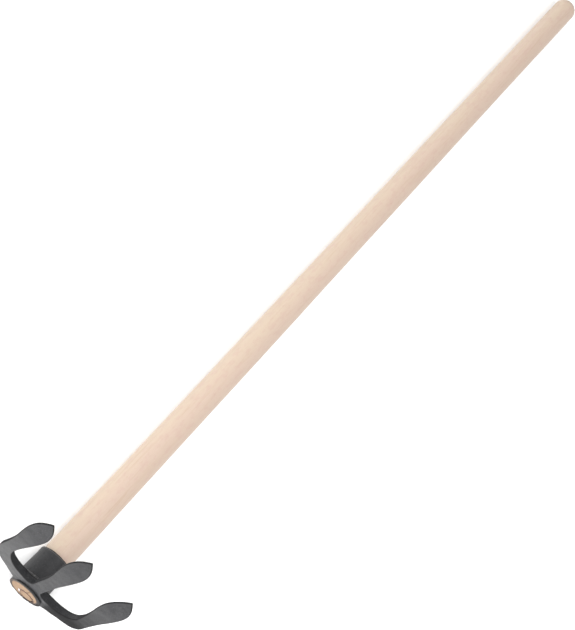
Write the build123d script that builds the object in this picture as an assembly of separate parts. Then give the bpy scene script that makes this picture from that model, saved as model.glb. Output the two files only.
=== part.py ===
from build123d import *
import math
import os

# Three-tined hand cultivator on a long wooden handle, lying on its back with the tines up.
# Millimetres. X runs across the tines, Y runs up the handle towards the grip, Z is the way
# the tines reach. The origin is the centre of the handle's sawn end, inside the eye.

# ---- handle ----
handle_length = 1186.0
seat_end_radius = 18.7        # spread by the wedge at the sawn end
handle_radius = 18.0          # just above the eye
grip_radius = 16.25
grip_length = 200.0           # straight part of the grip
dome_radius = 13.0            # rounding of the grip's end

# ---- eye: the conical tube that the handle is driven into ----
eye_length = 51.8
eye_wall_bottom = 3.5
eye_wall_top = 2.7
eye_edge_rounding = 0.9

# ---- ring wedge in the sawn end ----
wedge_radius = 11.25
wedge_wall = 2.0
wedge_edge_wall = 0.6         # the driven edge is ground thin
wedge_depth = 16.0
wedge_offset_x = 4.0
wedge_offset_z = -4.6

# ---- fork: crossbar and three tines in one forging ----
tine_reach = 148.4            # tip of each tine above the handle's axis
tine_spacing = 59.0           # middle tine to outer tine
neck_centres = (-0.1, 58.3, -58.9)   # middle, right and left, as forged
neck_half_width = 7.9
outer_neck_half_width = 7.7
neck_z = 58.0                 # top of the straight necks
neck_overlap = 0.5            # how far the crossbar's necks run up into the tines
# Half widths of a blade above its neck, as (height, half width).
blade_stations = ((84.0, 9.2), (104.0, 11.5), (122.0, 12.8), (136.0, 9.7))
tip_bluntness = 1.1           # sideways run of each edge for one step up, at the tip
# How far each tine sways from its neck's centre, at the blade stations and at the tip.
tine_sways = (
    (-0.2, -1.4, -1.2, -0.6, -0.3),
    (-0.6, -1.3, -0.2, 1.7, 1.6),
    (0.5, 0.1, 0.5, 0.8, 1.4),
)
plate_bottom_y = 1.0          # outer face of the crossbar beside the eye
plate_top_y = 12.5            # back face of the crossbar
plate_slope = 9.7             # degrees that the tines rake back from the crossbar
rake_start_z = 17.0           # where the outer face begins to rake
neck_back_start_z = 38.0      # where the back face leaves the crossbar
neck_back = (62.0, 14.4)      # back face at the necks, as (z, y)
curl_start_z = 95.0           # where the blades begin to curl towards the grip
curl_start_thickness = 4.0
blade_back = (118.0, 22.9)    # back face at the blades' widest part, as (z, y)
tip_y = 32.4                  # outer face of the middle tine's tip
tip_stagger = 1.7             # left tip this much nearer the eye's end, right tip further
tip_thickness = 1.7
arm_start_z = 3.0             # crossbar's rear edge where it runs into the eye
arm_start_inset = 5.0         # inside the eye's outer face
arm_rear_z = 29.5             # corner of the crossbar's rear edge and an outer tine
arm_inner_z = 31.0            # corner of the crossbar's front edge and an outer tine
root_edge_z = 27.0            # crossbar's front edge beside the middle tine
# The right arm was forged fuller than the left one: its heel is squarer and its bend is wider.
rear_roundings = {-1: 29.0, 1: 23.0}
inner_roundings = {-1: 26.0, 1: 29.0}
root_rounding = 7.0
forging_skew = 2.0            # left arm sits this much higher, right arm this much lower
forging_depth = 60.0          # longer than the fork is deep, each way

# ---- weld ----
weld_leg = 3.0                # across the crossbar's back
weld_rise = 6.5               # up the eye
root_weld_leg = 1.6
root_weld_height = 0.9
weld_half_angle = 64.0        # each side of the middle tine, round the eye

eye_radius_bottom = seat_end_radius + eye_wall_bottom
eye_radius_top = handle_radius + eye_wall_top


def eye_radius(y):
    """Outer radius of the eye at a height along the handle."""
    share = y / eye_length
    return eye_radius_bottom + share * (eye_radius_top - eye_radius_bottom)


def front_y(z):
    """Outer face of the fork on its straight, raked part."""
    return plate_bottom_y + (z - rake_start_z) * math.tan(math.radians(plate_slope))


def lathe(points):
    """Solid turned round the handle's axis from (radius, y) points."""
    face = make_face(Polyline(*points, close=True))
    return revolve(face, Axis.Y)


def make_handle(wedge):
    grip_start = handle_length - dome_radius - grip_length
    profile = [
        (0, 0),
        (seat_end_radius, 0),
        (handle_radius, eye_length),
        (grip_radius, grip_start),
        (grip_radius, handle_length),
        (0, handle_length),
    ]
    turned = lathe(profile)
    end_edge = turned.edges().filter_by(GeomType.CIRCLE).sort_by(Axis.Y)[-1]
    return fillet(end_edge, dome_radius) - wedge


def make_eye():
    profile = [
        (seat_end_radius, 0),
        (eye_radius_bottom, 0),
        (eye_radius_top, eye_length),
        (handle_radius, eye_length),
    ]
    tube = lathe(profile)
    outer_edges = tube.edges().filter_by(GeomType.CIRCLE).group_by(SortBy.RADIUS)
    outer_top = outer_edges[-2]
    outer_bottom = outer_edges[-1]
    return fillet(outer_top + outer_bottom, eye_edge_rounding)


def make_wedge():
    """Short steel ring with its inner wall tapered to a driving edge."""
    profile = [
        (wedge_radius - wedge_wall, 0),
        (wedge_radius, 0),
        (wedge_radius, wedge_depth),
        (wedge_radius - wedge_edge_wall, wedge_depth),
    ]
    return Pos(wedge_offset_x, 0, wedge_offset_z) * lathe(profile)


def blade_edge(index, side, half_width):
    """One edge of a tine, from its neck up to its tip."""
    centre = neck_centres[index]
    sways = tine_sways[index]
    points = [(centre + side * half_width, neck_z)]
    for (height, half), sway in zip(blade_stations, sways):
        points.append((centre + sway + side * half, height))
    points.append((centre + sways[-1], tine_reach))
    return Spline(*points, tangents=[(0, 1), (-side * tip_bluntness, 1)])


def tine_plan(index, half_width):
    """Face of one tine seen along the handle, from its neck to its pointed tip."""
    left = blade_edge(index, -1, half_width)
    right = blade_edge(index, 1, half_width)
    foot = Line(left @ 0, right @ 0)
    return make_face(left + right + foot)


def crossbar_plan():
    """Face of the crossbar: a shallow cradle that turns up into the three necks."""
    right, right_roundings = crossbar_half(1)
    left, left_roundings = crossbar_half(-1)
    plan = make_face(Polyline((0, 0), *right, *reversed(left), close=True))
    for point, radius in right_roundings + left_roundings:
        corner = plan.vertices().sort_by_distance((*point, 0))[0]
        plan = fillet(corner, radius)
    return plan


def crossbar_half(side):
    """Corners of one arm from its rear edge round to the middle tine, and their roundings."""
    rise = -side * forging_skew
    inner = neck_centres[side] - side * outer_neck_half_width
    outer = neck_centres[side] + side * outer_neck_half_width
    root = neck_centres[0] + side * neck_half_width
    neck_top = neck_z + neck_overlap
    arm_start = (side * (eye_radius_bottom - arm_start_inset), arm_start_z + rise)
    rear_corner = (outer, arm_rear_z)
    inner_corner = (inner, arm_inner_z + rise)
    root_corner = (root, root_edge_z + rise)
    corners = [
        arm_start,
        rear_corner,
        (outer, neck_top),
        (inner, neck_top),
        inner_corner,
        root_corner,
        (root, neck_top),
    ]
    roundings = [
        (rear_corner, rear_roundings[side]),
        (inner_corner, inner_roundings[side]),
        (root_corner, root_rounding),
    ]
    return corners, roundings


def fork_profile(tine_tip_y):
    """Side view of the forging: flat crossbar, raked necks, curled thin blades."""
    bend = (rake_start_z, plate_bottom_y)
    curl = (curl_start_z, front_y(curl_start_z))
    tip = (tine_reach, tine_tip_y)
    rake = (math.cos(math.radians(plate_slope)), math.sin(math.radians(plate_slope)))
    front_curl = TangentArc(curl, tip, tangent=rake)
    tip_direction = front_curl % 1
    tip_back = (
        tine_reach - tip_thickness * tip_direction.Y,
        tine_tip_y + tip_thickness * tip_direction.X,
    )
    back = Spline(
        (neck_back_start_z, plate_top_y),
        neck_back,
        (curl_start_z, front_y(curl_start_z) + curl_start_thickness),
        blade_back,
        tip_back,
        tangents=[(1, 0), (tip_direction.X, tip_direction.Y)],
    )
    outline = [
        Line((0, plate_bottom_y), bend),
        Line(bend, curl),
        front_curl,
        Line(tip, tip_back),
        back,
        Line((neck_back_start_z, plate_top_y), (0, plate_top_y)),
        Line((0, plate_top_y), (0, plate_bottom_y)),
    ]
    return make_face(outline)


def tine_slab(side):
    """The side view of one tine, as deep as half the way to its neighbours."""
    # The profile's (z, y) page turns about the vertical so that its thickness runs along X.
    page = Plane(origin=(side * tine_spacing, 0, 0), x_dir=(0, 0, 1), z_dir=(-1, 0, 0))
    profile = fork_profile(tip_y + side * tip_stagger)
    return extrude(page * profile, amount=tine_spacing / 2, both=True)


def make_fork():
    # (x, z) plans are drawn on the plane whose normal is -Y, so up the page is +Z.
    across = Plane.XZ
    plan = crossbar_plan() + tine_plan(0, neck_half_width)
    for side in (-1, 1):
        plan += tine_plan(side, outer_neck_half_width)
    prism = extrude(across * plan, amount=forging_depth, both=True)
    slab = tine_slab(0)
    for side in (-1, 1):
        slab += tine_slab(side)
    eye_body = lathe([(0, 0), (eye_radius_bottom, 0), (eye_radius_top, eye_length), (0, eye_length)])
    return prism & slab - eye_body


def weld_bead(foot_y, leg, height, direction):
    """Fillet weld in the corner between the eye and one face of the fork."""
    tip = foot_y + direction * height
    section = make_face(
        Polyline(
            (eye_radius(foot_y), foot_y),
            (eye_radius(foot_y) + leg, foot_y),
            (eye_radius(tip), tip),
            close=True,
        )
    )
    start = Rot(0, -90 - weld_half_angle, 0) * section
    return revolve(start, Axis.Y, revolution_arc=2 * weld_half_angle)


wedge = make_wedge()
parts = {
    "handle": make_handle(wedge),
    "eye_socket": make_eye(),
    "ring_wedge": wedge,
    "tine_fork": make_fork(),
    "weld_bead_back": weld_bead(plate_top_y, weld_leg, weld_rise, 1),
    "weld_bead_front": weld_bead(plate_bottom_y, root_weld_leg, root_weld_height, -1),
}

os.makedirs("parts", exist_ok=True)
for name, shape in parts.items():
    export_step(shape, "parts/" + name + ".step")
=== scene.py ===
import math

import bmesh
import bpy
import numpy as np
from mathutils import Matrix, Vector
from mathutils.bvhtree import BVHTree
from mathutils.geometry import delaunay_2d_cdt
from mathutils.kdtree import KDTree


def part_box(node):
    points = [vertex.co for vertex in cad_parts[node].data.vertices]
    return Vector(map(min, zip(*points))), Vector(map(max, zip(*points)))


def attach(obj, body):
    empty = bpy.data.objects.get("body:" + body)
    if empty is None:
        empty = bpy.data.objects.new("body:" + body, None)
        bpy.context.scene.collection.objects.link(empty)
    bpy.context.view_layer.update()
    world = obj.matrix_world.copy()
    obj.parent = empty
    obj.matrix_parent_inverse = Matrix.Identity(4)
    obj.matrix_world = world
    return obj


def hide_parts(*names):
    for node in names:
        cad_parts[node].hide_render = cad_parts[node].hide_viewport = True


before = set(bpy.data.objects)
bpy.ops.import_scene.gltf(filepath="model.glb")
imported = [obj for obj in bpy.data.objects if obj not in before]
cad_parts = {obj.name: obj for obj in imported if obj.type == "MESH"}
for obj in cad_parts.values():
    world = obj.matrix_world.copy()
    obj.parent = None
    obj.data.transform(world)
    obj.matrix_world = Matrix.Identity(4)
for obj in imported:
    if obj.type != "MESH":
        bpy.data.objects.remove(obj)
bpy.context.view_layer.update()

# A three-tined hand cultivator. X runs across the tines, Y up the handle, Z the way the tines
# reach. Lengths are in metres, written as millimetres times MM.

MM = 0.001
clear_of_tool = 200 * MM      # further out than any part of the head or the handle's side


# ---- places read from the CAD frame ----

def cad_tree(node):
    """The CAD node's surface, ready to be struck by rays."""
    shell = bmesh.new()
    shell.from_mesh(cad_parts[node].data)
    tree = BVHTree.FromBMesh(shell)
    shell.free()
    return tree


def cad_radius(node, height):
    """Outer radius of a turned CAD node at a height along the handle."""
    outside = Vector((clear_of_tool, height, 0))
    place = cad_tree(node).ray_cast(outside, Vector((-1, 0, 0)))[0]
    return math.hypot(place.x, place.z)


handle_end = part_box("handle")[1].y
eye_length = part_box("eye_socket")[1].y
eye_radius_low = -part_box("eye_socket")[0].x
eye_radius_high = cad_radius("eye_socket", eye_length - 1.5 * MM)
seat_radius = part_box("handle")[1].x
wedge_low, wedge_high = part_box("ring_wedge")
wedge_centre = (wedge_low + wedge_high) / 2
wedge_radius = (wedge_high.x - wedge_low.x) / 2
wedge_depth = wedge_high.y
floor_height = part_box("eye_socket")[0].z

# Growth rings of the sawn end, round a pith outside the handle.
pith_x = -6 * MM
pith_z = 21 * MM
ring_gap = 0.42 * MM


# ---- mesh helpers ----

def sine_field(points, size, seed, waves=28):
    """Smooth random heights of about one, from sine waves about `size` long."""
    rng = np.random.default_rng(seed)
    ways = rng.normal(size=(waves, 3))
    ways /= np.linalg.norm(ways, axis=1)[:, None]
    turns = 2 * np.pi / (size * rng.uniform(0.7, 1.7, waves))
    phases = rng.uniform(0, 2 * np.pi, waves)
    return np.sin((points @ ways.T) * turns + phases).sum(1) * math.sqrt(2 / waves)


def smoothstep(low, high, value):
    """Goes from 0 to 1, level at both ends, as the value goes from low to high."""
    share = np.clip((value - low) / (high - low), 0, 1)
    return share * share * (3 - 2 * share)


def finish_piece(name, points, faces, node):
    """Makes a closed mesh object facing outward and hands it to the frame for its CAD node."""
    mesh = bpy.data.meshes.new(name)
    mesh.from_pydata([tuple(p) for p in points], [], faces)
    mesh.validate()
    mesh.update()
    mesh.shade_smooth()
    face_outward(mesh)
    piece = bpy.data.objects.new(name, mesh)
    bpy.context.scene.collection.objects.link(piece)
    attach(piece, "root")
    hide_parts(node)
    return piece


def face_outward(mesh):
    """Turns every face of a closed mesh outward."""
    shell = bmesh.new()
    shell.from_mesh(mesh)
    bmesh.ops.recalc_face_normals(shell, faces=shell.faces)
    shell.to_mesh(mesh)
    shell.free()


def ring_faces(rings, columns, closed):
    """Quads between rings of points, and between the last ring and the first if closed."""
    faces = []
    for r in range(rings if closed else rings - 1):
        a = r * columns
        b = (r + 1) % rings * columns
        for c in range(columns):
            d = (c + 1) % columns
            faces.append((a + c, a + d, b + d, b + c))
    return faces


def circle(angles, centre, radius, height):
    """Points round the handle's direction at the given angles from +X towards +Z."""
    x = centre[0] + radius * np.cos(angles)
    z = centre[1] + radius * np.sin(angles)
    return np.stack([x, np.broadcast_to(height, x.shape), z], axis=1)


# ---- handle ----

crack_angle = math.radians(88)
crack_half_width = 0.35 * MM
crack_depth = 2.2 * MM
groove_depth = 4.0 * MM
handle_edge = 0.5 * MM
grip_dome = 13.0 * MM
grip_straight = 200 * MM


def handle_angles():
    """Even steps round the handle, with finer ones where the sawn end is cracked."""
    even = np.linspace(0, 2 * np.pi, 120, endpoint=False)
    fine = crack_angle + np.radians(np.arange(-4, 4.1, 0.5))
    return np.unique(np.concatenate([even, np.mod(fine, 2 * np.pi)]).round(6))


def handle_side_rows(angles):
    """Rings from the grip's rounded end down to the sawn end's edge."""
    grip_radius = cad_radius("handle", handle_end - 50 * MM)
    rows = []
    for turn in np.radians(np.linspace(84, 0, 15)):
        radius = grip_radius - grip_dome + grip_dome * math.cos(turn)
        rows.append((radius, handle_end - grip_dome + grip_dome * math.sin(turn)))
    heights = np.linspace(handle_end - grip_dome, eye_length + 6 * MM, 190)[1:]
    straight = cad_radius("handle", eye_length + 20 * MM)
    grip_start = handle_end - grip_dome - grip_straight
    for height in heights:
        share = min(1.0, (grip_start - height) / (grip_start - eye_length))
        rows.append((grip_radius + max(0.0, share) * (straight - grip_radius), height))
    for height in np.linspace(eye_length + 3 * MM, 3 * MM, 12):
        rows.append((seat_radius + (straight - seat_radius) * height / eye_length, height))
    rows += [(seat_radius - 0.05 * MM, 1.2 * MM), (seat_radius - 0.1 * MM, handle_edge)]
    return [circle(angles, (0, 0), radius, height) for radius, height in rows]


def handle_end_rows(angles):
    """Rings over the sawn end: the wood outside the wedge, its groove, and the plug inside."""
    middle = np.array([wedge_centre.x, wedge_centre.z])
    rows = [circle(angles, (0, 0), seat_radius - 0.35 * MM, 0.12 * MM)]
    for share in np.linspace(0.04, 1, 16):
        centre = middle * share
        radius = (seat_radius - 0.5 * MM) * (1 - share) + (wedge_radius + 0.1 * MM) * share
        rows.append(circle(angles, centre, radius, 0.05 * MM))
    rows[-1][:, 1] = 0.3 * MM
    inner = wedge_radius - 2.1 * MM
    walls = [
        (wedge_radius + 0.02 * MM, 1.2 * MM),
        (wedge_radius, groove_depth),
        (inner, groove_depth),
        (inner - 0.02 * MM, 1.2 * MM),
        (inner - 0.15 * MM, 0.35 * MM),
        (inner - 0.6 * MM, 0.08 * MM),
    ]
    rows += [circle(angles, middle, radius, depth) for radius, depth in walls]
    for radius in np.linspace(inner - 1.2 * MM, 0.5 * MM, 8):
        rows.append(circle(angles, middle, radius, 0.04 * MM))
    return rows


def build_handle():
    """The turned pole, with saw marks, the wedge's groove and a crack in its sawn end."""
    angles = handle_angles()
    side = handle_side_rows(angles)
    rows = side + handle_end_rows(angles)
    points = np.concatenate(rows)
    columns = len(angles)

    # The lathe left the side a little uneven, and it wears most at the grip.
    side_count = len(side) * columns
    body = points[:side_count]
    unevenness = 0.10 * MM * sine_field(body * (1, 0.12, 1), 30 * MM, 3) - 0.14 * MM
    clear = smoothstep(eye_length, eye_length + 20 * MM, body[:, 1])
    away = body[:, [0, 2]] / np.linalg.norm(body[:, [0, 2]], axis=1)[:, None]
    body[:, [0, 2]] += away * (unevenness * clear)[:, None]

    # Saw marks and softer early wood on the end, and the crack that the wedge opened.
    end = points[side_count:]
    flat = end[:, 1] < 0.2 * MM
    ring_way = np.linalg.norm(end[:, [0, 2]] - [pith_x, pith_z], axis=1)
    relief = 0.06 * MM * (1 + np.sin(ring_way / ring_gap))
    relief += 0.05 * MM * (1 + sine_field(end, 5 * MM, 8))
    end[flat, 1] += np.clip(relief[flat], 0, None)
    crack_way = np.array([math.cos(crack_angle), math.sin(crack_angle)])
    along = end[:, [0, 2]] @ crack_way
    across = end[:, [0, 2]] @ np.array([-crack_way[1], crack_way[0]])
    wander = 0.25 * MM * np.sin(along / (1.7 * MM))
    open_share = np.exp(-(((across - wander) / crack_half_width) ** 2))
    reaches = (along > 5 * MM) & (along < seat_radius - 0.3 * MM)
    outside_wedge = np.linalg.norm(end[:, [0, 2]] - [wedge_centre.x, wedge_centre.z], axis=1)
    reaches &= outside_wedge > wedge_radius + 0.05 * MM
    end[reaches, 1] += crack_depth * open_share[reaches]

    faces = ring_faces(len(rows), columns, False)
    top = len(points)
    low = top + 1
    tip = (0, handle_end, 0)
    plug_middle = (wedge_centre.x, 0.05 * MM, wedge_centre.z)
    points = np.concatenate([points, [tip], [plug_middle]])
    last = (len(rows) - 1) * columns
    faces += [(top, (c + 1) % columns, c) for c in range(columns)]
    faces += [(low, last + c, last + (c + 1) % columns) for c in range(columns)]
    piece = finish_piece("handle_wood", points, faces, "handle")
    # The rings over the sawn end and the fan in the plug's middle take the end-grain material.
    end_faces = set(range((len(side) - 1) * columns, len(faces) - 2 * columns))
    end_faces |= set(range(len(faces) - columns, len(faces)))
    for polygon in piece.data.polygons:
        polygon.material_index = int(polygon.index in end_faces)
    return piece


# ---- eye ----

burr_way = math.radians(-65)   # round the eye from +X towards +Z
eye_lip = 0.9 * MM


def build_eye():
    """The conical tube, with rounded lips, a rough lower rim and a few shallow dents."""
    angles = np.linspace(0, 2 * np.pi, 168, endpoint=False)
    profile = []
    for turn in np.radians(np.linspace(-90, 0, 6)):
        radius = eye_radius_low - eye_lip + eye_lip * math.cos(turn)
        profile.append((radius, eye_lip + eye_lip * math.sin(turn)))
    for height in np.linspace(eye_lip, eye_length - eye_lip, 40)[1:-1]:
        share = height / eye_length
        profile.append((eye_radius_low + share * (eye_radius_high - eye_radius_low), height))
    for turn in np.radians(np.linspace(0, 90, 6)):
        radius = eye_radius_high - eye_lip + eye_lip * math.cos(turn)
        profile.append((radius, eye_length - eye_lip + eye_lip * math.sin(turn)))
    rim_bore = cad_radius("handle", eye_length + 1 * MM) + 0.35 * MM
    profile.append((rim_bore + 0.7 * MM, eye_length - 0.1 * MM))
    profile.append((rim_bore, eye_length - 0.8 * MM))
    profile.append((rim_bore - 0.3 * MM, eye_length - 4 * MM))
    profile.append((seat_radius + 0.05 * MM, 3 * MM))
    profile.append((seat_radius + 0.1 * MM, 0.7 * MM))
    profile.append((seat_radius + 0.5 * MM, 0.05 * MM))
    points = np.concatenate([circle(angles, (0, 0), r, h) for r, h in profile])
    reach = np.linalg.norm(points[:, [0, 2]], axis=1)
    away = points[:, [0, 2]] / reach[:, None]
    outer = smoothstep(seat_radius + 0.6 * MM, seat_radius + 1.6 * MM, reach)
    dents = 0.09 * MM * sine_field(points, 15 * MM, 21) - 0.13 * MM
    scale = 0.03 * MM * sine_field(points, 2.4 * MM, 22)
    clear = 0.25 + 0.75 * smoothstep(1 * MM, 14 * MM, points[:, 1])
    points[:, [0, 2]] += away * (outer * clear * (dents + scale))[:, None]
    rough = 1 - smoothstep(0, 3 * MM, points[:, 1])
    around = np.arctan2(points[:, 2], points[:, 0])
    rough *= 0.2 + 0.8 * np.clip(np.cos(around - burr_way), 0, 1)
    burr = 0.2 * MM * (1 + sine_field(points, 3.5 * MM, 23))
    points[:, 1] += rough * np.clip(burr, 0, None)
    top = smoothstep(eye_length - 3 * MM, eye_length, points[:, 1])
    points[:, 1] -= top * np.clip(0.10 * MM * (1 + sine_field(points, 9 * MM, 24)), 0, None)
    faces = ring_faces(len(profile), len(angles), True)
    return finish_piece("eye_tube", points, faces, "eye_socket")


# ---- fork ----

outline_step = 0.8 * MM
edge_rings = (0.16 * MM, 0.45 * MM, 0.95 * MM, 1.6 * MM, 2.4 * MM)
grid_step = 1.3 * MM
wall_steps = 6
tine_gap_middle = 29.5 * MM    # halfway from the middle tine to an outer one
middle_blade_x = -0.6 * MM
blade_half_width = 13.0 * MM
arm_probes = (52 * MM, 45 * MM, 35 * MM, 28 * MM, 25 * MM)   # where an arm's faces are felt for
probe_front = -50 * MM         # the rays start this far ahead of and behind the fork
probe_back = 150 * MM
probe_low = 8 * MM
probe_high = 148 * MM
probe_step = 0.5 * MM
blade_foot = 72 * MM
blade_full = 104 * MM
blade_edge = 2.1 * MM
neck_rounding = 1.9 * MM
blade_rounding = 0.5 * MM
rake_start = 17 * MM
rake_slope = math.tan(math.radians(9.7))
bend_softness = 11 * MM
right_bend = (48 * MM, 45 * MM)
right_bend_reach = 16 * MM
front_cut_back = 1.2 * MM
back_stand_out = 1.6 * MM
shade_way = np.array([0.55, -0.83])
dull_shade = 0.4               # shades past which the duller and the dullest coating begin
black_shade = 0.9


def fork_outline():
    """Corners of the fork's outer face, in order, as (x, z)."""
    shell = bmesh.new()
    shell.from_mesh(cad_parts["tine_fork"].data)
    bmesh.ops.remove_doubles(shell, verts=shell.verts, dist=0.002 * MM)
    shell.normal_update()
    links = {}
    for edge in shell.edges:
        outward = [face.normal.y < -0.5 for face in edge.link_faces]
        if len(outward) == 2 and outward[0] != outward[1]:
            a, b = edge.verts
            links.setdefault(a.index, []).append(b.index)
            links.setdefault(b.index, []).append(a.index)
    shell.verts.ensure_lookup_table()
    start = min(links)
    walk = [start, links[start][0]]
    while walk[-1] != start:
        here, before = walk[-1], walk[-2]
        walk.append(next(i for i in links[here] if i != before))
    corners = np.array([(shell.verts[i].co.x, shell.verts[i].co.z) for i in walk[:-1]])
    shell.free()
    return corners


def turn_at(loop, reach):
    """How sharply a closed loop of even steps turns at each point, in degrees."""
    back = loop - np.roll(loop, reach, axis=0)
    ahead = np.roll(loop, -reach, axis=0) - loop
    cross = back[:, 0] * ahead[:, 1] - back[:, 1] * ahead[:, 0]
    dot = (back * ahead).sum(1)
    return np.degrees(np.abs(np.arctan2(cross, dot)))


def resample(path, step):
    """Points at even steps along an open path, its two ends included."""
    lengths = np.linalg.norm(np.diff(path, axis=0), axis=1)
    walked = np.concatenate([[0], np.cumsum(lengths)])
    count = max(2, int(round(walked[-1] / step)) + 1)
    stations = np.linspace(0, walked[-1], count)
    return np.stack([np.interp(stations, walked, path[:, k]) for k in (0, 1)], axis=1)


def smooth_outline(corners):
    """The outline in even steps, its tips and inner corners kept, its arcs made smooth."""
    closed = np.concatenate([corners, corners[:1]])
    fine = resample(closed, 0.25 * MM)[:-1]
    turns = turn_at(fine, 4)
    peaks = [
        i for i in range(len(fine))
        if turns[i] > 30 and turns[i] == max(turns[np.arange(i - 12, i + 13) % len(fine)])
    ]
    loop = []
    for here, ahead in zip(peaks, peaks[1:] + [peaks[0] + len(fine)]):
        stretch = fine[np.arange(here, ahead + 1) % len(fine)]
        for _ in range(60):
            stretch[1:-1] = (stretch[:-2] + 2 * stretch[1:-1] + stretch[2:]) / 4
        loop.append(resample(stretch, outline_step)[:-1])
    return np.concatenate(loop)


def loop_normals(loop):
    """Unit vectors that point into the material from each point of the outline."""
    along = np.roll(loop, -1, axis=0) - np.roll(loop, 1, axis=0)
    along /= np.linalg.norm(along, axis=1)[:, None]
    inward = np.stack([-along[:, 1], along[:, 0]], axis=1)
    area = (loop[:, 0] * np.roll(loop[:, 1], -1) - np.roll(loop[:, 0], -1) * loop[:, 1]).sum()
    return inward if area > 0 else -inward


def distance_to_loop(points, loop):
    """Shortest distance from each point to the closed outline."""
    start, end = loop, np.roll(loop, -1, axis=0)
    span = end - start
    best = np.full(len(points), 1e9)
    for a, v in zip(start, span):
        offset = points - a
        share = np.clip(offset @ v / (v @ v), 0, 1)
        best = np.minimum(best, ((offset - share[:, None] * v) ** 2).sum(1))
    return np.sqrt(best)


def inside_loop(points, loop):
    """Which points the closed outline encloses."""
    hits = np.zeros(len(points), int)
    for (ax, az), (bx, bz) in zip(loop, np.roll(loop, -1, axis=0)):
        spans = (az > points[:, 1]) != (bz > points[:, 1])
        with np.errstate(divide="ignore", invalid="ignore"):
            crossing = ax + (points[:, 1] - az) * (bx - ax) / (bz - az)
        hits += spans & (points[:, 0] < crossing)
    return hits % 2 == 1


def fork_mesh_plan(loop):
    """Points and triangles over the fork's plan, fine at its edges."""
    inward = loop_normals(loop)
    rings = []
    for offset in edge_rings:
        ring = loop + inward * offset
        ring = ring[inside_loop(ring, loop)]
        rings.append(ring[distance_to_loop(ring, loop) > 0.93 * offset])
    low, high = loop.min(0), loop.max(0)
    rows = np.arange(low[1], high[1], grid_step * math.sqrt(3) / 2)
    grid = [
        np.stack([np.arange(low[0] + i % 2 * grid_step / 2, high[0], grid_step)] * 2, axis=1)
        for i in range(len(rows))
    ]
    for line, z in zip(grid, rows):
        line[:, 1] = z
    grid = np.concatenate(grid)
    grid = grid[inside_loop(grid, loop)]
    grid = grid[distance_to_loop(grid, loop) > edge_rings[-1] + 0.6 * grid_step]
    plan = np.concatenate([loop, *rings, grid])
    edges = [(i, (i + 1) % len(loop)) for i in range(len(loop))]
    # The triangulation works in millimetres, since it drops small differences.
    scale = 1000.0
    scaled = [Vector(p) * scale for p in plan]
    made = delaunay_2d_cdt(scaled, edges, [list(range(len(loop)))], 1, 1e-5)
    points = np.array([tuple(v) for v in made[0]]) / scale
    return points, [tuple(f) for f in made[2]]


def tine_faces(tree, centre_x):
    """Heights of the outer and the back face along one tine, smoothed, as functions of z."""
    heights = np.arange(probe_low, probe_high, probe_step)
    front, back = [], []
    for z in heights:
        for x in (centre_x, *arm_probes):
            ahead = tree.ray_cast(Vector((x, probe_front, z)), Vector((0, 1, 0)))[0]
            behind = tree.ray_cast(Vector((x, probe_back, z)), Vector((0, -1, 0)))[0]
            if ahead is not None and behind is not None:
                front.append((z, ahead.y))
                back.append((z, behind.y))
                break
    smooth = []
    for face in (np.array(front), np.array(back)):
        window = np.exp(-0.5 * (np.arange(-24, 25) / 9.0) ** 2)
        window /= window.sum()
        padded = np.pad(face[:, 1], 24, mode="reflect", reflect_type="odd")
        smooth.append((face[:, 0], np.convolve(padded, window, mode="valid")))
    return smooth


def face_heights(points, tines, which):
    """Height of the outer (0) or back (1) face of the CAD fork under each plan point."""
    out = np.empty(len(points))
    for side, curves in tines.items():
        mine = {
            -1: points[:, 0] < -tine_gap_middle,
            0: np.abs(points[:, 0]) <= tine_gap_middle,
            1: points[:, 0] > tine_gap_middle,
        }[side]
        z, y = curves[which]
        slope = (y[-1] - y[-9]) / (z[-1] - z[-9])
        beyond = np.maximum(points[mine, 1] - z[-1], 0)
        out[mine] = np.interp(points[mine, 1], z, y) + beyond * slope
    return out


def nearest_in_loop(points, loop):
    """Index of the outline's point that is nearest to each point."""
    tree = KDTree(len(loop))
    for i, (x, z) in enumerate(loop):
        tree.insert((x, z, 0), i)
    tree.balance()
    return np.array([tree.find((x, z, 0))[1] for x, z in points])


def hammer_marks(points, seed, count, depth):
    """Shallow round dents left by forging, as depths at each point."""
    rng = np.random.default_rng(seed)
    centres = points[rng.integers(0, len(points), count)]
    sizes = rng.uniform(3.0 * MM, 6.5 * MM, count)
    depths = rng.uniform(0.3, 1.0, count) * depth
    sunk = np.zeros(len(points))
    for centre, size, deep in zip(centres, sizes, depths):
        away = ((points - centre) ** 2).sum(1)
        sunk = np.maximum(sunk, deep * np.exp(-away / (size * size)))
    return sunk


def bump_round(points, middle, reach):
    """One at a place in the fork's plan, falling away to nothing around it."""
    apart = points - np.array(middle)
    return np.exp(-(apart ** 2).sum(axis=1) / reach ** 2)


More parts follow.
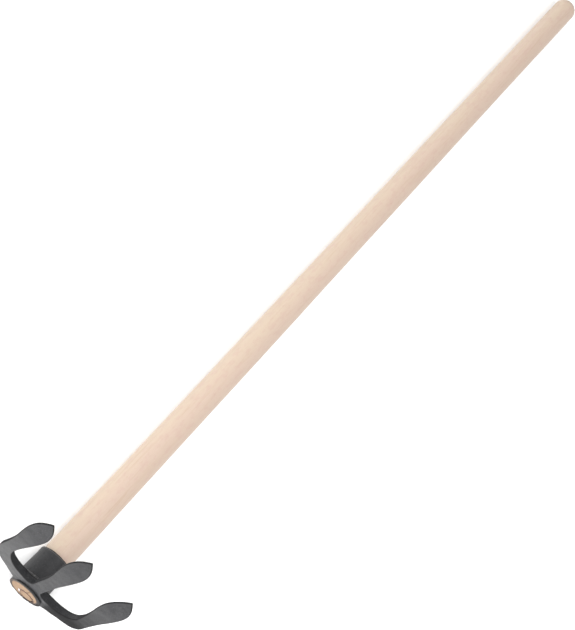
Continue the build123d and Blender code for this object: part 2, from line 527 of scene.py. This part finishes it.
def build_fork():
    """The forging: outer and back faces over the outline, rounded into the walls between."""
    tree = cad_tree("tine_fork")
    loop = smooth_outline(fork_outline())
    clear = smoothstep(0.5 * MM, 3 * MM, np.hypot(loop[:, 0], loop[:, 1]) - eye_radius_low)
    loop += loop_normals(loop) * (0.35 * MM * clear - 0.25 * MM)[:, None]
    plan, triangles = fork_mesh_plan(loop)
    low_x, high_x = loop[:, 0].min(), loop[:, 0].max()
    tines = {
        -1: tine_faces(tree, low_x + blade_half_width),
        0: tine_faces(tree, middle_blade_x),
        1: tine_faces(tree, high_x - blade_half_width),
    }
    edge = distance_to_loop(plan, loop)
    edge[: len(loop)] = 0
    bladeness = smoothstep(blade_foot, blade_full, plan[:, 1])
    front = face_heights(plan, tines, 0)
    back = face_heights(plan, tines, 1)

    # The forged bend between the flat crossbar and the raked tines is a soft one.
    past = plan[:, 1] - rake_start
    soft = (np.clip(past + bend_softness, 0, 2 * bend_softness)) ** 2 / (4 * bend_softness)
    front += rake_slope * (soft - np.clip(past, 0, bend_softness))

    # Blades thin out towards their edges, so their back is slightly crowned.
    thick = back - front
    thin = np.minimum(thick, blade_edge)
    ground = smoothstep(0, 8 * MM, edge)
    thinned = thin + (thick - thin) * ground
    back = front + bladeness * thinned + (1 - bladeness) * thick

    # Both faces are a little uneven, with marks of the hammer.
    solid = np.stack([plan[:, 0], np.zeros(len(plan)), plan[:, 1]], axis=1)
    inner = smoothstep(0.4 * MM, 3 * MM, edge)
    front += inner * (0.10 * MM + 0.06 * MM * sine_field(solid, 13 * MM, 31))
    front += inner * hammer_marks(plan, 32, 90, 0.22 * MM)
    back -= inner * (0.10 * MM + 0.08 * MM * sine_field(solid, 11 * MM, 33))
    back -= inner * hammer_marks(plan, 34, 110, 0.28 * MM)

    # The edges are rounded, but not where the fork runs into the eye.
    rounding = neck_rounding * (1 - bladeness) + blade_rounding * bladeness
    rounding = np.minimum(rounding, 0.42 * (back - front))
    beside_eye = np.hypot(plan[:, 0], plan[:, 1]) - eye_radius_low
    rounding *= smoothstep(0.5 * MM, 5 * MM, beside_eye)
    near = np.clip(1 - edge / np.maximum(rounding, 0.01 * MM), 0, 1)
    drop = rounding * (1 - np.sqrt(np.clip(1 - near * near, 0, 1)))
    front += drop
    back -= drop

    # The inner wall of the right bend leans: its back edge stands out past its front edge.
    inward = loop_normals(loop)
    faces_out = -inward[nearest_in_loop(plan, loop)]
    lean = bump_round(plan, right_bend, right_bend_reach) * (1 - smoothstep(0, 5 * MM, edge))
    lean = faces_out * lean[:, None]
    front_plan = plan - front_cut_back * lean
    back_plan = plan + back_stand_out * lean

    # Painted shade darkens the edges, and the right arm's lower side and front.
    edge_shade = 1 - smoothstep(0.25 * MM, 0.95 * MM, edge)
    lower_side_shade = smoothstep(0.45, 0.8, faces_out @ shade_way) * (1 - smoothstep(1.5 * MM, 8.5 * MM, edge))
    lower_side_shade *= 1 - smoothstep(46 * MM, 66 * MM, plan[:, 1])
    right = smoothstep(15 * MM, 30 * MM, plan[:, 0])
    # Painted shade over the right arm's front, strongest low down and thinning out further up.
    arm = 0.40 * (1 - smoothstep(36 * MM, 56 * MM, plan[:, 1]))
    arm += 0.38 * (1 - smoothstep(62 * MM, 108 * MM, plan[:, 1]))
    front_shade = np.maximum(edge_shade, right * np.maximum(arm, lower_side_shade))

    count = len(plan)
    rim = len(loop)
    front_points = np.stack([front_plan[:, 0], front, front_plan[:, 1]], axis=1)
    back_points = np.stack([back_plan[:, 0], back, back_plan[:, 1]], axis=1)
    wall_rows = []
    for k in range(1, wall_steps):
        share = k / wall_steps
        height = front[:rim] * (1 - share) + back[:rim] * share
        wall = np.stack([loop[:, 0], height, loop[:, 1]], axis=1)
        sway = 0.05 * MM * (1 + sine_field(wall, 6 * MM, 35))
        place = front_plan[:rim] * (1 - share) + back_plan[:rim] * share
        place += inward * np.clip(sway, 0, None)[:, None] * math.sin(math.pi * share)
        wall_rows.append(np.stack([place[:, 0], height, place[:, 1]], axis=1))
    points = np.concatenate([front_points, back_points, *wall_rows])

    faces = []
    for a, b, c in triangles:
        faces.append((a, b, c))
        faces.append((count + a, count + c, count + b))
    rows = [range(rim)]
    rows += [range(2 * count + k * rim, 2 * count + (k + 1) * rim) for k in range(wall_steps - 1)]
    rows.append(range(count, count + rim))
    for above, below in zip(rows, rows[1:]):
        for i in range(rim):
            j = (i + 1) % rim
            faces.append((above[i], above[j], below[j], below[i]))
    piece = finish_piece("fork_forging", points, faces, "tine_fork")
    # The walls are wholly in painted shade.
    shades = np.concatenate([front_shade, edge_shade, np.ones(len(points) - 2 * count)])
    shade_layer = piece.data.attributes.new("edge_shade", "FLOAT", "POINT")
    shade_layer.data.foreach_set("value", shades)
    # Faces deep in painted shade take the duller, then the near-black, shaded copies of the
    # coating.
    for polygon in piece.data.polygons:
        face_shade = min(shades[i] for i in polygon.vertices)
        polygon.material_index = int(face_shade > dull_shade) + int(face_shade > black_shade)
    return piece


# ---- welds ----

weld_half_angle = math.radians(57)   # each side of the middle tine, round the eye


def build_weld(name, node, foot, leg, rise, seed):
    """A rippled bead in the corner between the eye and one face of the fork."""
    stations = 150
    sweep = np.linspace(math.pi / 2 - weld_half_angle, math.pi / 2 + weld_half_angle, stations)
    lobes = 9
    rng = np.random.default_rng(seed)
    phase = np.cumsum(rng.uniform(0.7, 1.3, stations)) * 0.5
    rows = []
    for i, angle in enumerate(sweep):
        ends = min(1.0, 0.25 + min(i, stations - 1 - i) / 7)
        swell = ends * (0.93 + 0.07 * abs(math.sin(phase[i])))
        section = []
        for turn in np.linspace(0, math.pi / 2, lobes):
            out = leg * swell * math.cos(turn) ** 0.8
            up = rise * swell * math.sin(turn) ** 0.8
            section.append((out, up))
        # The bead's hidden side is sunk into the eye and the fork.
        section.append((-0.5 * MM, rise * swell * 0.8))
        section.append((-0.5 * MM, -0.2 * rise))
        section.append((0.6 * leg, -0.2 * rise))
        for out, up in section:
            height = foot + up
            share = height / eye_length
            radius = eye_radius_low + share * (eye_radius_high - eye_radius_low) - 0.15 * MM + out
            rows.append((radius * math.cos(angle), height, radius * math.sin(angle)))
    columns = len(section)
    faces = ring_faces(stations, columns, False)
    faces.append(tuple(reversed(range(columns))))
    faces.append(tuple(range((stations - 1) * columns, stations * columns)))
    return finish_piece(name, rows, faces, node)


# ---- ring wedge ----

def build_wedge():
    """The driven steel ring, tilted a little in its groove and bruised where it was struck."""
    angles = np.linspace(0, 2 * np.pi, 120, endpoint=False)
    wall = 2.0 * MM
    outer = wedge_radius - 0.05 * MM
    profile = [
        (outer - wall, 0.5 * MM),
        (outer - wall + 0.25 * MM, 0.12 * MM),
        (outer - wall / 2, 0),
        (outer - 0.25 * MM, 0.12 * MM),
        (outer, 0.5 * MM),
        (outer - 0.02 * MM, 4 * MM),
        (outer - 0.1 * MM, wedge_depth - 0.3 * MM),
        (outer - 0.5 * MM, wedge_depth - 0.3 * MM),
        (outer - wall + 0.6 * MM, 6 * MM),
    ]
    middle = (wedge_centre.x, wedge_centre.z)
    points = np.concatenate([circle(angles, middle, r, h) for r, h in profile])
    flush_way = math.radians(203)
    around = np.arctan2(points[:, 2] - middle[1], points[:, 0] - middle[0])
    sink = 0.15 * MM + 1.15 * MM * (0.5 - 0.5 * np.cos(around - flush_way))
    bruise = 0.08 * MM * (1 + sine_field(points, 3 * MM, 41))
    upper = smoothstep(5 * MM, 1 * MM, points[:, 1])
    points[:, 1] += upper * (sink + np.clip(bruise, 0, None))
    faces = ring_faces(len(profile), len(angles), True)
    return finish_piece("wedge_ring", points, faces, "ring_wedge")


# ---- materials ----

class Paint:
    """A node material with short calls to add nodes and join them."""

    def __init__(self, name):
        self.material = bpy.data.materials.new(name)
        self.material.use_nodes = True
        self.tree = self.material.node_tree
        self.surface = self.tree.nodes["Principled BSDF"]
        self.place = self.add("TexCoord", {}).outputs["Object"]

    def feed(self, socket, value):
        """Links a socket to another node's output, or sets it to a constant."""
        if isinstance(value, bpy.types.NodeSocket):
            self.tree.links.new(value, socket)
        else:
            socket.default_value = value

    def add(self, kind, inputs, **settings):
        """Adds a shader node with its settings and fed inputs."""
        made = self.tree.nodes.new("ShaderNode" + kind)
        for name, value in settings.items():
            setattr(made, name, value)
        for name, value in inputs.items():
            self.feed(made.inputs[name], value)
        return made

    def stretched(self, x, y, z):
        """The object's own coordinates, scaled along each axis."""
        return self.add("Mapping", {"Vector": self.place, "Scale": (x, y, z)}).outputs[0]

    def off_axis(self, x, z):
        """Distance from the upright line through a place."""
        apart = self.add("VectorMath", {0: self.place, 1: (x, 0, z)}, operation="SUBTRACT")
        flat = self.add("VectorMath", {0: apart.outputs[0], 1: (1, 0, 1)}, operation="MULTIPLY")
        return self.add("VectorMath", {0: flat.outputs[0]}, operation="LENGTH").outputs["Value"]

    def noise(self, where, size, detail=4.0, rough=0.55, twist=0.0):
        """Random grey, in patches of about `size` metres."""
        inputs = {
            "Vector": where, "Scale": 1.0 / size, "Detail": detail,
            "Roughness": rough, "Distortion": twist,
        }
        return self.add("TexNoise", inputs).outputs["Fac"]

    def ramp(self, value, *stops):
        """Colours between stops, each (place, colour)."""
        made = self.add("ValToRGB", {"Fac": value})
        band = made.color_ramp
        while len(band.elements) < len(stops):
            band.elements.new(0.5)
        for element, (place, colour) in zip(band.elements, stops):
            element.position = place
            element.color = (*colour, 1)
        return made.outputs["Color"]

    def mask(self, value, low, high):
        """Grey that goes from 0 to 1 as the value goes from low to high."""
        inputs = {"Value": value, "From Min": low, "From Max": high}
        return self.add("MapRange", inputs, interpolation_type="SMOOTHSTEP").outputs["Result"]

    def span(self, value, low, high, out_low, out_high):
        """The value carried straight from one range to another."""
        inputs = {
            "Value": value, "From Min": low, "From Max": high,
            "To Min": out_low, "To Max": out_high,
        }
        return self.add("MapRange", inputs).outputs["Result"]

    def mix(self, share, under, over):
        """One colour laid over another by a share from 0 to 1."""
        made = self.add("Mix", {}, data_type="RGBA")
        # A colour mix uses these three of the node's inputs, and its third output.
        for index, value in ((0, share), (6, under), (7, over)):
            self.feed(made.inputs[index], value)
        return made.outputs[2]

    def maths(self, operation, a, b):
        """A sum on two values."""
        made = self.add("Math", {}, operation=operation)
        self.feed(made.inputs[0], a)
        self.feed(made.inputs[1], b)
        return made.outputs[0]

    def bump(self, height, depth):
        """Shading normals for a relief as deep as `depth` metres."""
        inputs = {"Height": height, "Distance": depth, "Strength": 1.0}
        return self.add("Bump", inputs).outputs["Normal"]

    def finish(self, **sockets):
        """Sets the surface's sockets, each named with _ for a space, and returns the material."""
        for name, value in sockets.items():
            self.feed(self.surface.inputs[name.replace("_", " ")], value)
        return self.material


def wood_side():
    """Pale sanded hardwood: long soft grain, short flecks, warm and pinkish patches, and painted
    light and shade across the handle.
    """
    paint = Paint("pale_sanded_wood")
    long_way = paint.stretched(1, 0.035, 1)
    fleck_way = paint.stretched(1, 0.14, 1)
    across = paint.add("SeparateXYZ", {"Vector": paint.place}).outputs["X"]
    patches = paint.noise(paint.stretched(1, 0.16, 1), 26 * MM, 2.0)
    sway = paint.maths("MULTIPLY", paint.maths("SUBTRACT", patches, 0.5), 1.1)
    # Painted light and shade: the tone runs across the handle, lighter and yellower towards -X and
    # darker towards +X, broken up by patches.
    band = paint.maths("ADD", paint.span(across, -17 * MM, 17 * MM, 0.0, 1.0), sway)
    grain = paint.noise(long_way, 2.6 * MM, 5.0, 0.6, 0.6)
    fine = paint.noise(long_way, 0.7 * MM, 3.0, 0.6)
    flecks = paint.mask(paint.noise(fleck_way, 0.6 * MM, 2.0, 0.5), 0.62, 0.72)
    tone = paint.ramp(
        band,
        (0.10, (0.495, 0.397, 0.305)),
        (0.5, (0.495, 0.381, 0.308)),
        (0.95, (0.482, 0.371, 0.294)),
    )
    tone = paint.mix(paint.mask(grain, 0.48, 0.85), tone, (0.450, 0.333, 0.255, 1))
    blush = paint.mask(paint.noise(paint.stretched(1, 0.45, 1), 5 * MM, 3.0), 0.48, 0.68)
    tone = paint.mix(paint.maths("MULTIPLY", blush, 0.55), tone, (0.470, 0.335, 0.280, 1))
    tone = paint.mix(paint.maths("MULTIPLY", flecks, 0.30), tone, (0.420, 0.290, 0.210, 1))
    rough = paint.mask(fine, -0.6, 2.2)
    height = paint.maths("ADD", fine, paint.maths("MULTIPLY", flecks, -0.8))
    normal = paint.bump(height, 0.12 * MM)
    return paint.finish(Base_Color=tone, Roughness=paint.maths("ADD", rough, 0.18), Normal=normal)


def wood_end():
    """Sawn end grain: growth rings round a pith off to one side, rays, pores, a stain round the
    wedge, painted shade in the hollows and a dark edge.
    """
    paint = Paint("sawn_end_grain")
    reach = paint.off_axis(pith_x, pith_z)
    wobble = paint.maths("MULTIPLY", paint.noise(paint.place, 9 * MM, 2.0), 1.6 * MM)
    wavering = paint.maths("ADD", reach, wobble)
    rings = paint.maths("SINE", paint.maths("DIVIDE", wavering, ring_gap), 0)
    pores = paint.mask(paint.noise(paint.place, 0.45 * MM, 2.0), 0.60, 0.70)
    blotch = paint.noise(paint.place, 6 * MM, 3.0)
    tone = paint.ramp(
        paint.mask(rings, -1.0, 1.0),
        (0.0, (0.215, 0.140, 0.083)),
        (0.7, (0.247, 0.162, 0.096)),
        (1.0, (0.178, 0.111, 0.062)),
    )
    tone = paint.mix(paint.mask(blotch, 0.45, 0.75), tone, (0.178, 0.106, 0.062, 1))
    tone = paint.mix(paint.maths("MULTIPLY", pores, 0.5), tone, (0.250, 0.130, 0.065, 1))
    # A dark band round the wedge ring, partly staining by the steel and partly painted shade of its
    # groove, spread wider towards +X and -Z.
    gap = paint.off_axis(wedge_centre.x + 0.8 * MM, wedge_centre.z - 0.7 * MM)
    stray = paint.maths("ABSOLUTE", paint.maths("SUBTRACT", gap, wedge_radius - 1.0 * MM), 0)
    stain_and_groove_shade = paint.maths("SUBTRACT", 1.0, paint.mask(stray, 0.9 * MM, 2.1 * MM))
    tone = paint.mix(paint.maths("MULTIPLY", stain_and_groove_shade, 0.85), tone, (0.070, 0.032, 0.022, 1))
    # Painted shade: the wood darkens where it lies deeper, in the wedge's groove and the crack.
    depth = paint.add("SeparateXYZ", {"Vector": paint.place}).outputs["Y"]
    tone = paint.mix(paint.mask(depth, 0.35 * MM, 1.3 * MM), tone, (0.060, 0.030, 0.018, 1))
    # The end darkens to near black along its edge beside the eye, widest towards +X and -Z.
    rim = paint.off_axis(-1.7 * MM, 0.7 * MM)
    edge_crescent = paint.mask(rim, seat_radius - 0.9 * MM, seat_radius + 0.1 * MM)
    tone = paint.mix(edge_crescent, tone, (0.030, 0.018, 0.014, 1))
    normal = paint.bump(paint.noise(paint.place, 0.5 * MM, 3.0), 0.15 * MM)
    return paint.finish(Base_Color=tone, Roughness=0.72, Normal=normal)


def coating_coat(paint, dark, light):
    """Colour, roughness and height of the dark baked coating over forging scale."""
    cloud = paint.noise(paint.place, 14 * MM, 3.0)
    mottle = paint.noise(paint.place, 1.8 * MM, 4.0, 0.65)
    fine = paint.noise(paint.place, 0.35 * MM, 2.0)
    tone = paint.ramp(cloud, (0.3, dark), (0.7, light))
    pale = tuple(1.6 * c for c in light) + (1,)
    tone = paint.mix(paint.mask(mottle, 0.50, 0.72), tone, pale)
    freckles = paint.mask(paint.noise(paint.place, 2.6 * MM, 3.0, 0.6), 0.58, 0.68)
    tone = paint.mix(paint.maths("MULTIPLY", freckles, 0.6), tone, (0.006, 0.006, 0.006, 1))
    nicks = paint.mask(paint.noise(paint.place, 2.2 * MM, 6.0, 0.75), 0.70, 0.74)
    tone = paint.mix(nicks, tone, (0.150, 0.146, 0.142, 1))
    height = paint.maths("ADD", paint.maths("MULTIPLY", mottle, 2.0), fine)
    return tone, mottle, height


def fork_coating(name, gloss):
    """The fork's coating, darker and rougher towards its edges and on the right arm as painted
    shade, paler on the left arm as painted light.
    """
    paint = Paint(name)
    tone, mottle, height = coating_coat(paint, (0.0165, 0.0165, 0.018), (0.0255, 0.0255, 0.027))
    shade = paint.add("Attribute", {}, attribute_name="edge_shade").outputs["Fac"]
    parts = paint.add("SeparateXYZ", {"Vector": paint.place})
    # Painted light: the left arm is made paler, most of all low down.
    left_arm_light = paint.span(parts.outputs["X"], -12 * MM, -38 * MM, 0.0, 1.0)
    low = paint.span(parts.outputs["Z"], 95 * MM, 45 * MM, 0.0, 1.0)
    tone = paint.mix(paint.maths("MULTIPLY", left_arm_light, low), tone, (0.046, 0.046, 0.047, 1))
    tone = paint.mix(shade, tone, (0.004, 0.004, 0.004, 1))
    rough = paint.span(mottle, 0.3, 0.7, 0.34, 0.48)
    rough = paint.maths("ADD", rough, paint.maths("MULTIPLY", shade, 0.45))
    normal = paint.bump(height, 0.05 * MM)
    return paint.finish(Base_Color=tone, Roughness=rough, Normal=normal, Specular_IOR_Level=gloss)


def cut_edge_shade_coating():
    """Walls of the forging and its darkest faces: painted shade, near black and less glossy, with a
    little of the grey coating on it.
    """
    paint = Paint("cut_edge_shade_coating")
    # Painted shade: this copy of the coating is made near black and less glossy.
    tone, mottle, height = coating_coat(paint, (0.014, 0.014, 0.015), (0.023, 0.023, 0.024))
    rough = paint.span(mottle, 0.3, 0.7, 0.60, 0.80)
    normal = paint.bump(height, 0.08 * MM)
    return paint.finish(Base_Color=tone, Roughness=rough, Normal=normal, Specular_IOR_Level=0.08)


def eye_coating():
    """The tube's coating: a painted highlight and painted shade at the upper lip, burnt black-brown
    at the sawn end.
    """
    paint = Paint("eye_coating")
    tone, mottle, height = coating_coat(paint, (0.015, 0.015, 0.0165), (0.022, 0.022, 0.0235))
    along = paint.add("SeparateXYZ", {"Vector": paint.place}).outputs["Y"]
    ragged = paint.maths("MULTIPLY", paint.noise(paint.place, 3.0 * MM, 3.0), 1.6 * MM)
    uneven = paint.maths("ADD", along, ragged)
    near_lip = paint.maths("ADD", along, paint.maths("MULTIPLY", ragged, 0.25))
    # Painted highlight and shade at the upper lip: a pale line, then black on the lip's rounding.
    lip_highlight = paint.mask(near_lip, eye_length - 1.9 * MM, eye_length - 1.6 * MM)
    ends = paint.mask(near_lip, eye_length - 1.4 * MM, eye_length - 1.1 * MM)
    tone = paint.mix(paint.maths("MULTIPLY", lip_highlight, 0.8), tone, (0.130, 0.120, 0.115, 1))
    tone = paint.mix(ends, tone, (0.002, 0.002, 0.002, 1))
    burnt = paint.maths("SUBTRACT", 1.0, paint.mask(uneven, 0.9 * MM, 2.2 * MM))
    # The sawn end goes from lighter brown towards -X to black towards +X.
    across = paint.add("SeparateXYZ", {"Vector": paint.place}).outputs["X"]
    end_brown_to_black = paint.mix(
        paint.span(across, -14 * MM, 6 * MM, 0.0, 1.0),
        (0.060, 0.048, 0.042, 1),
        (0.008, 0.006, 0.006, 1),
    )
    tone = paint.mix(burnt, tone, end_brown_to_black)
    rough = paint.span(mottle, 0.3, 0.7, 0.46, 0.60)
    rough = paint.maths("ADD", rough, paint.maths("MULTIPLY", burnt, 0.3))
    normal = paint.bump(height, 0.05 * MM)
    return paint.finish(Base_Color=tone, Roughness=rough, Normal=normal, Specular_IOR_Level=0.4)


def weld_coating():
    """Coated weld metal: coarse ripples with pale points, which are painted glints."""
    paint = Paint("weld_coating")
    tone, mottle, height = coating_coat(paint, (0.018, 0.017, 0.017), (0.032, 0.031, 0.031))
    # Painted glints: small pale points on the ripples.
    points = paint.mask(paint.noise(paint.place, 1.1 * MM, 2.0), 0.60, 0.66)
    tone = paint.mix(points, tone, (0.300, 0.294, 0.288, 1))
    rough = paint.span(mottle, 0.3, 0.7, 0.40, 0.58)
    return paint.finish(Base_Color=tone, Roughness=rough, Normal=paint.bump(height, 0.10 * MM))


def front_weld_shade_coating():
    """The small front bead under thick coating, near black as painted shade in the corner between
    the eye and the fork.
    """
    paint = Paint("front_weld_shade_coating")
    # Painted shade: the bead is coloured near black.
    tone, mottle, height = coating_coat(paint, (0.010, 0.010, 0.010), (0.018, 0.018, 0.018))
    rough = paint.span(mottle, 0.3, 0.7, 0.60, 0.80)
    normal = paint.bump(height, 0.10 * MM)
    return paint.finish(Base_Color=tone, Roughness=rough, Normal=normal, Specular_IOR_Level=0.25)


def wedge_steel():
    """Bare steel: bright where the hammer struck, brown and black oxide elsewhere."""
    paint = Paint("struck_wedge_steel")
    flush = (wedge_centre.x - 9.4 * MM, 0, wedge_centre.z - 4.0 * MM)
    apart = paint.add("VectorMath", {0: paint.place, 1: flush}, operation="DISTANCE")
    ragged = paint.maths("MULTIPLY", paint.noise(paint.place, 1.5 * MM, 3.0), 3.0 * MM)
    from_blow = paint.maths("ADD", apart.outputs["Value"], ragged)
    struck = paint.maths("SUBTRACT", 1.0, paint.mask(from_blow, 4.2 * MM, 6.2 * MM))
    oxide = paint.ramp(
        paint.noise(paint.place, 1.2 * MM, 4.0),
        (0.35, (0.045, 0.028, 0.020)),
        (0.65, (0.140, 0.075, 0.045)),
    )
    tone = paint.mix(struck, oxide, (0.780, 0.740, 0.740, 1))
    scratches = paint.noise(paint.stretched(6, 1, 1), 0.6 * MM, 2.0)
    rough = paint.add("MapRange", {"Value": scratches, "To Min": 0.28, "To Max": 0.62})
    normal = paint.bump(scratches, 0.08 * MM)
    return paint.finish(Base_Color=tone, Metallic=struck, Roughness=rough.outputs[0], Normal=normal)


# ---- setting ----

floor_half_width = 3.0
brighter_way = (-0.20, -0.28, 0)
lens_length = 85.8             # millimetres, as Blender takes them
sensor_width = 36.0
camera_place = Vector((-355.0, -419.1, 1623.6)) * MM
camera_aim = Vector((5.5, 482.1, 0.0)) * MM
camera_up = Vector((-0.738, 0.646, 0.195))


def build_floor():
    """A large pale floor under the eye."""
    signs = ((-1, -1), (1, -1), (1, 1), (-1, 1))
    corners = [(x * floor_half_width, y * floor_half_width, floor_height) for x, y in signs]
    mesh = bpy.data.meshes.new("pale_floor")
    mesh.from_pydata(corners, [], [(0, 1, 2, 3)])
    floor = bpy.data.objects.new("pale_floor", mesh)
    bpy.context.scene.collection.objects.link(floor)
    paint = Paint("pale_floor_paint")
    tone = paint.ramp(
        paint.noise(paint.place, 400 * MM, 2.0),
        (0.0, (0.940, 0.940, 0.940)),
        (1.0, (0.965, 0.965, 0.965)),
    )
    mesh.materials.append(paint.finish(Base_Color=tone, Roughness=0.9))


def build_sky():
    """Soft light from all round: bright low down, dim overhead, strongest before the tines."""
    world = bpy.data.worlds.new("studio")
    bpy.context.scene.world = world
    world.use_nodes = True
    tree = world.node_tree
    backdrop = tree.nodes["Background"]
    way = tree.nodes.new("ShaderNodeTexCoord").outputs["Generated"]
    parts = tree.nodes.new("ShaderNodeSeparateXYZ")
    tree.links.new(way, parts.inputs[0])
    climb = tree.nodes.new("ShaderNodeMapRange")
    tree.links.new(parts.outputs["Z"], climb.inputs["Value"])
    for name, value in (("From Min", 0.25), ("From Max", 0.85), ("To Min", 1.62), ("To Max", 0.34)):
        climb.inputs[name].default_value = value
    lean = tree.nodes.new("ShaderNodeVectorMath")
    lean.operation = "DOT_PRODUCT"
    tree.links.new(way, lean.inputs[0])
    lean.inputs[1].default_value = brighter_way
    side = tree.nodes.new("ShaderNodeMath")
    side.operation = "ADD"
    tree.links.new(lean.outputs["Value"], side.inputs[0])
    side.inputs[1].default_value = 1.0
    whole = tree.nodes.new("ShaderNodeMath")
    whole.operation = "MULTIPLY"
    tree.links.new(climb.outputs["Result"], whole.inputs[0])
    tree.links.new(side.outputs[0], whole.inputs[1])
    backdrop.inputs["Color"].default_value = (1, 1, 1, 1)
    tree.links.new(whole.outputs[0], backdrop.inputs["Strength"])


def add_softbox(name, place, aim, width, power):
    """A round soft light that faces its aim."""
    light = bpy.data.lights.new(name, "AREA")
    light.shape = "DISK"
    light.size = width
    light.energy = power
    box = bpy.data.objects.new(name, light)
    bpy.context.scene.collection.objects.link(box)
    box.location = place
    box.rotation_mode = "QUATERNION"
    box.rotation_quaternion = (Vector(aim) - Vector(place)).to_track_quat("-Z", "Y")


def build_camera():
    """A long lens above the sawn end, looking down along the handle, rolled on its side."""
    back = (camera_place - camera_aim).normalized()
    right = camera_up.cross(back).normalized()
    over = back.cross(right)
    lens = bpy.data.cameras.new("camera")
    lens.sensor_width = sensor_width
    lens.lens = lens_length
    camera = bpy.data.objects.new("camera", lens)
    bpy.context.scene.collection.objects.link(camera)
    turn = Matrix((right, over, back)).transposed().to_4x4()
    camera.matrix_world = Matrix.Translation(camera_place) @ turn
    bpy.context.scene.camera = camera


def build_pieces():
    """Every visible piece of the tool, with its materials."""
    handle = build_handle()
    handle.data.materials.append(wood_side())
    handle.data.materials.append(wood_end())
    fork = build_fork()
    # The second and third coatings are duller, darker copies of the first, for faces in painted
    # shade.
    fork.data.materials.append(fork_coating("fork_coating", 0.22))
    fork.data.materials.append(fork_coating("fork_coating_shaded", 0.15))
    fork.data.materials.append(cut_edge_shade_coating())
    build_eye().data.materials.append(eye_coating())
    bead = weld_coating()
    back_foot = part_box("weld_bead_back")[0].y
    back = build_weld("weld_back", "weld_bead_back", back_foot, 2.6 * MM, 4.9 * MM, 51)
    back.data.materials.append(bead)
    front_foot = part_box("weld_bead_front")[1].y
    front = build_weld("weld_front", "weld_bead_front", front_foot, 1.5 * MM, -0.85 * MM, 52)
    front.data.materials.append(front_weld_shade_coating())
    build_wedge().data.materials.append(wedge_steel())


build_pieces()
build_floor()
build_sky()
add_softbox("front_light", (-0.5, -1.9, 0.55), aim=(0, 0, 0.1), width=1.4, power=42)
add_softbox("top_light", (0.1, -0.6, 2.7), aim=(0, 0.5, 0), width=2.6, power=78)
build_camera()
bpy.context.scene.view_settings.view_transform = "Standard"
